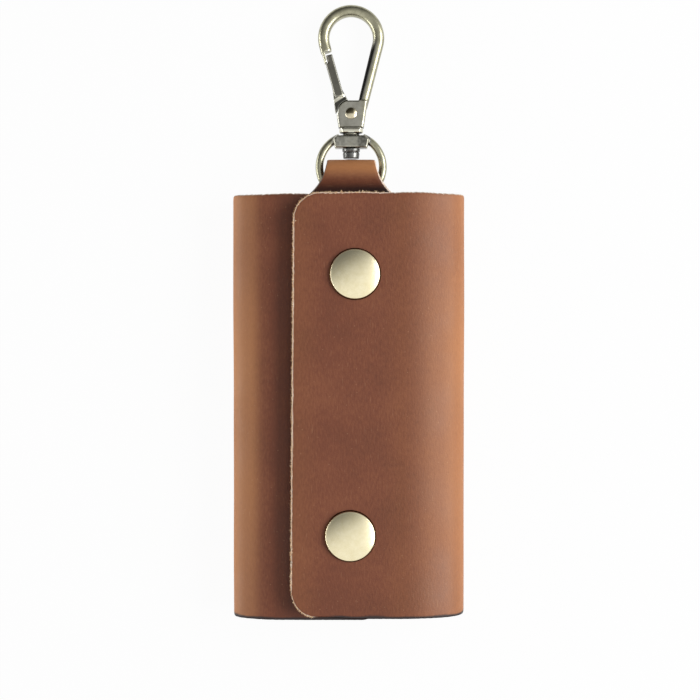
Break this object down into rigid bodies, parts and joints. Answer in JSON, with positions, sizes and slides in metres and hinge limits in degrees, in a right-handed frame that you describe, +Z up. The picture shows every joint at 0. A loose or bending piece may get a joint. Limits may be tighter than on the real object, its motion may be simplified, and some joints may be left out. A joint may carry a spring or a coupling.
{
  "type": "key case",
  "caption": "Leather key case with a snapped wrap-over flap, sprung key hooks inside, and a trigger clasp on a swivel ring held by a leather loop.",
  "frame": {"origin": "middle of the case's back face, on the surface that the case lies on", "axes": "+X across the case towards the flap's folded side, +Y along the case towards the clasp, +Z up from the back to the flap"},
  "size_m": [0.0715, 0.1911, 0.0245],
  "materials": {
    "hide": "waxed pull-up leather",
    "cap_brass": "satin pale brass",
    "aged_brass": "aged brass plate",
    "nickel": "nickel plate"
  },
  "bodies": {
    "case": {"back_panel": "hide", "hanger_tongue": "hide", "key_plate": "nickel", "hook_rod": "nickel", "rivet_post_left": "nickel", "rivet_post_right": "nickel", "rivet_cap_left": "nickel", "rivet_cap_right": "nickel"},
    "wall_low": {"right_wall_low": "hide"},
    "wall_high": {"right_wall_high": "hide"},
    "flap": {"outer_flap": "hide", "snap_cap_upper": "cap_brass", "snap_cap_lower": "cap_brass", "snap_socket_upper": "nickel", "snap_socket_lower": "nickel", "snap_spring_upper": "nickel", "snap_spring_lower": "nickel"},
    "wing": {"inner_wing": "hide", "snap_stud_upper": "nickel", "snap_stud_lower": "nickel", "wing_post_upper": "nickel", "wing_post_lower": "nickel"},
    "ring": {"swivel_ring": "aged_brass"},
    "hook": {"hook_body": "aged_brass", "swivel_post": "aged_brass", "gate_pin": "aged_brass", "gate_spring": "nickel"},
    "gate": {"hook_gate": "aged_brass"},
    "key_1": {"key_hook_1": "nickel"},
    "leaf_1": {"key_gate_1": "nickel"},
    "key_2": {"key_hook_2": "nickel"},
    "leaf_2": {"key_gate_2": "nickel"},
    "key_3": {"key_hook_3": "nickel"},
    "leaf_3": {"key_gate_3": "nickel"},
    "key_4": {"key_hook_4": "nickel"},
    "leaf_4": {"key_gate_4": "nickel"},
    "key_5": {"key_hook_5": "nickel"},
    "leaf_5": {"key_gate_5": "nickel"},
    "key_6": {"key_hook_6": "nickel"},
    "leaf_6": {"key_gate_6": "nickel"}
  },
  "joints": [
    {"name": "low_fold", "type": "hinge", "parent": "case", "child": "wall_low", "pos_m": [0.03105, 0, 0.00126], "axis": [0, 1, 0], "range_deg": [0, 57]},
    {"name": "side_fold", "type": "hinge", "parent": "wall_low", "child": "wall_high", "pos_m": [0.03575, 0, 0.0094], "axis": [0, 1, 0], "range_deg": [0, 57]},
    {"name": "flap_open", "type": "hinge", "parent": "wall_high", "child": "flap", "pos_m": [0.03063, 0, 0.01826], "axis": [0, 1, 0], "range_deg": [0, 57]},
    {"name": "wing_open", "type": "hinge", "parent": "case", "child": "wing", "pos_m": [-0.03242, 0, 0.01366], "axis": [0, -1, 0], "range_deg": [0, 80]},
    {"name": "ring_swing", "type": "hinge", "parent": "case", "child": "ring", "pos_m": [0.0008, 0.0648, 0.00325], "axis": [1, 0, 0], "range_deg": [0, 25]},
    {"name": "hook_swivel", "type": "hinge", "parent": "ring", "child": "hook", "pos_m": [0.0008, 0.085, 0.00325], "axis": [0, 1, 0], "continuous": true},
    {"name": "gate_open", "type": "hinge", "parent": "hook", "child": "gate", "pos_m": [0.0008, 0.09155, 0.00325], "axis": [0, 0, -1], "range_deg": [0, 25], "stiffness_Nm_per_rad": 0.05, "springref_deg": -17.19},
    {"name": "key_swing_1", "type": "hinge", "parent": "case", "child": "key_1", "pos_m": [-0.0177, 0.0404, 0.00528], "axis": [-1, 0, 0], "range_deg": [0, 20]},
    {"name": "leaf_open_1", "type": "hinge", "parent": "key_1", "child": "leaf_1", "pos_m": [-0.01575, 0.03283, 0.00464], "axis": [0, 0.0837, -0.9965], "range_deg": [0, 10], "stiffness_Nm_per_rad": 0.02, "springref_deg": -5.73},
    {"name": "key_swing_2", "type": "hinge", "parent": "case", "child": "key_2", "pos_m": [-0.0103, 0.0404, 0.00528], "axis": [-1, 0, 0], "range_deg": [0, 20]},
    {"name": "leaf_open_2", "type": "hinge", "parent": "key_2", "child": "leaf_2", "pos_m": [-0.00835, 0.03283, 0.00464], "axis": [0, 0.0837, -0.9965], "range_deg": [0, 10], "stiffness_Nm_per_rad": 0.02, "springref_deg": -5.73},
    {"name": "key_swing_3", "type": "hinge", "parent": "case", "child": "key_3", "pos_m": [-0.0029, 0.0404, 0.00528], "axis": [-1, 0, 0], "range_deg": [0, 20]},
    {"name": "leaf_open_3", "type": "hinge", "parent": "key_3", "child": "leaf_3", "pos_m": [-0.00095, 0.03283, 0.00464], "axis": [0, 0.0837, -0.9965], "range_deg": [0, 10], "stiffness_Nm_per_rad": 0.02, "springref_deg": -5.73},
    {"name": "key_swing_4", "type": "hinge", "parent": "case", "child": "key_4", "pos_m": [0.0045, 0.0404, 0.00528], "axis": [-1, 0, 0], "range_deg": [0, 20]},
    {"name": "leaf_open_4", "type": "hinge", "parent": "key_4", "child": "leaf_4", "pos_m": [0.00645, 0.03283, 0.00464], "axis": [0, 0.0837, -0.9965], "range_deg": [0, 10], "stiffness_Nm_per_rad": 0.02, "springref_deg": -5.73},
    {"name": "key_swing_5", "type": "hinge", "parent": "case", "child": "key_5", "pos_m": [0.0119, 0.0404, 0.00528], "axis": [-1, 0, 0], "range_deg": [0, 20]},
    {"name": "leaf_open_5", "type": "hinge", "parent": "key_5", "child": "leaf_5", "pos_m": [0.01385, 0.03283, 0.00464], "axis": [0, 0.0837, -0.9965], "range_deg": [0, 10], "stiffness_Nm_per_rad": 0.02, "springref_deg": -5.73},
    {"name": "key_swing_6", "type": "hinge", "parent": "case", "child": "key_6", "pos_m": [0.0193, 0.0404, 0.00528], "axis": [-1, 0, 0], "range_deg": [0, 20]},
    {"name": "leaf_open_6", "type": "hinge", "parent": "key_6", "child": "leaf_6", "pos_m": [0.02125, 0.03283, 0.00464], "axis": [0, 0.0837, -0.9965], "range_deg": [0, 10], "stiffness_Nm_per_rad": 0.02, "springref_deg": -5.73}
  ],
  "couplings": [
    {"joint": "side_fold", "follows": "flap_open", "ratio": 1},
    {"joint": "low_fold", "follows": "flap_open", "ratio": 1},
    {"joint": "wing_open", "follows": "flap_open", "ratio": 1.4}
  ]
}
